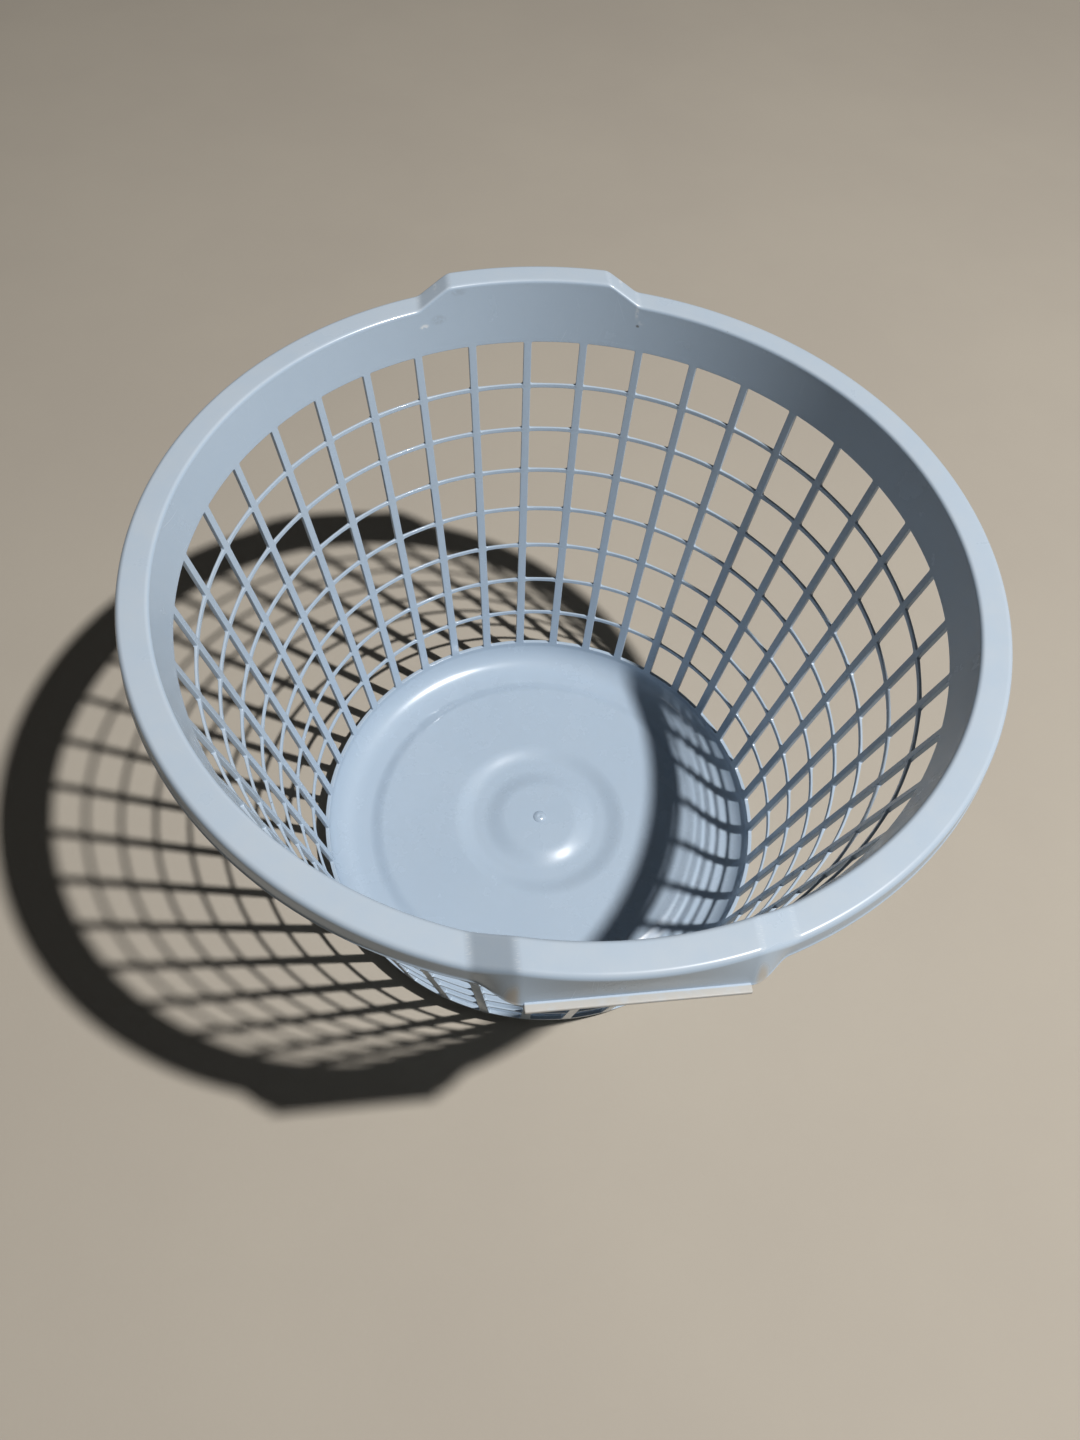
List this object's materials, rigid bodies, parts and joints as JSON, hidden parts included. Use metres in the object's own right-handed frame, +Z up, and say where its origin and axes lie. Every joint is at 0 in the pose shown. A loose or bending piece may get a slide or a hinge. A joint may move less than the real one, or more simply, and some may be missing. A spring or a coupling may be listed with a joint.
{
  "type": "round laundry basket",
  "caption": "Round tapered plastic laundry basket with openwork sides, solid bands, a broad rim with a skirt and two raised grips.",
  "frame": {"origin": "on the floor under the middle of the basket", "axes": "+Z up through the basket's axis, +Y and -Y towards the two grips, +X towards the right-hand side between them"},
  "size_m": [0.4824, 0.4924, 0.322],
  "materials": {
    "basket_plastic": "semi-gloss moulded polypropylene, light powder blue, lightly scuffed"
  },
  "bodies": {
    "root": {"floor_panel": "basket_plastic", "centre_dish": "basket_plastic", "gate_nub": "basket_plastic", "floor_gutter": "basket_plastic", "base_corner": "basket_plastic", "lower_band": "basket_plastic", "ribs_right": "basket_plastic", "ribs_back": "basket_plastic", "ribs_left": "basket_plastic", "ribs_front": "basket_plastic", "hoop_1": "basket_plastic", "hoop_2": "basket_plastic", "hoop_3": "basket_plastic", "hoop_4": "basket_plastic", "hoop_5": "basket_plastic", "hoop_6": "basket_plastic", "hoop_7": "basket_plastic", "upper_band": "basket_plastic", "rim_right": "basket_plastic", "rim_left": "basket_plastic", "grip_back": "basket_plastic", "grip_front": "basket_plastic", "grip_shoulders": "basket_plastic", "grip_lip_back": "basket_plastic", "grip_lip_front": "basket_plastic"}
  },
  "joints": []
}
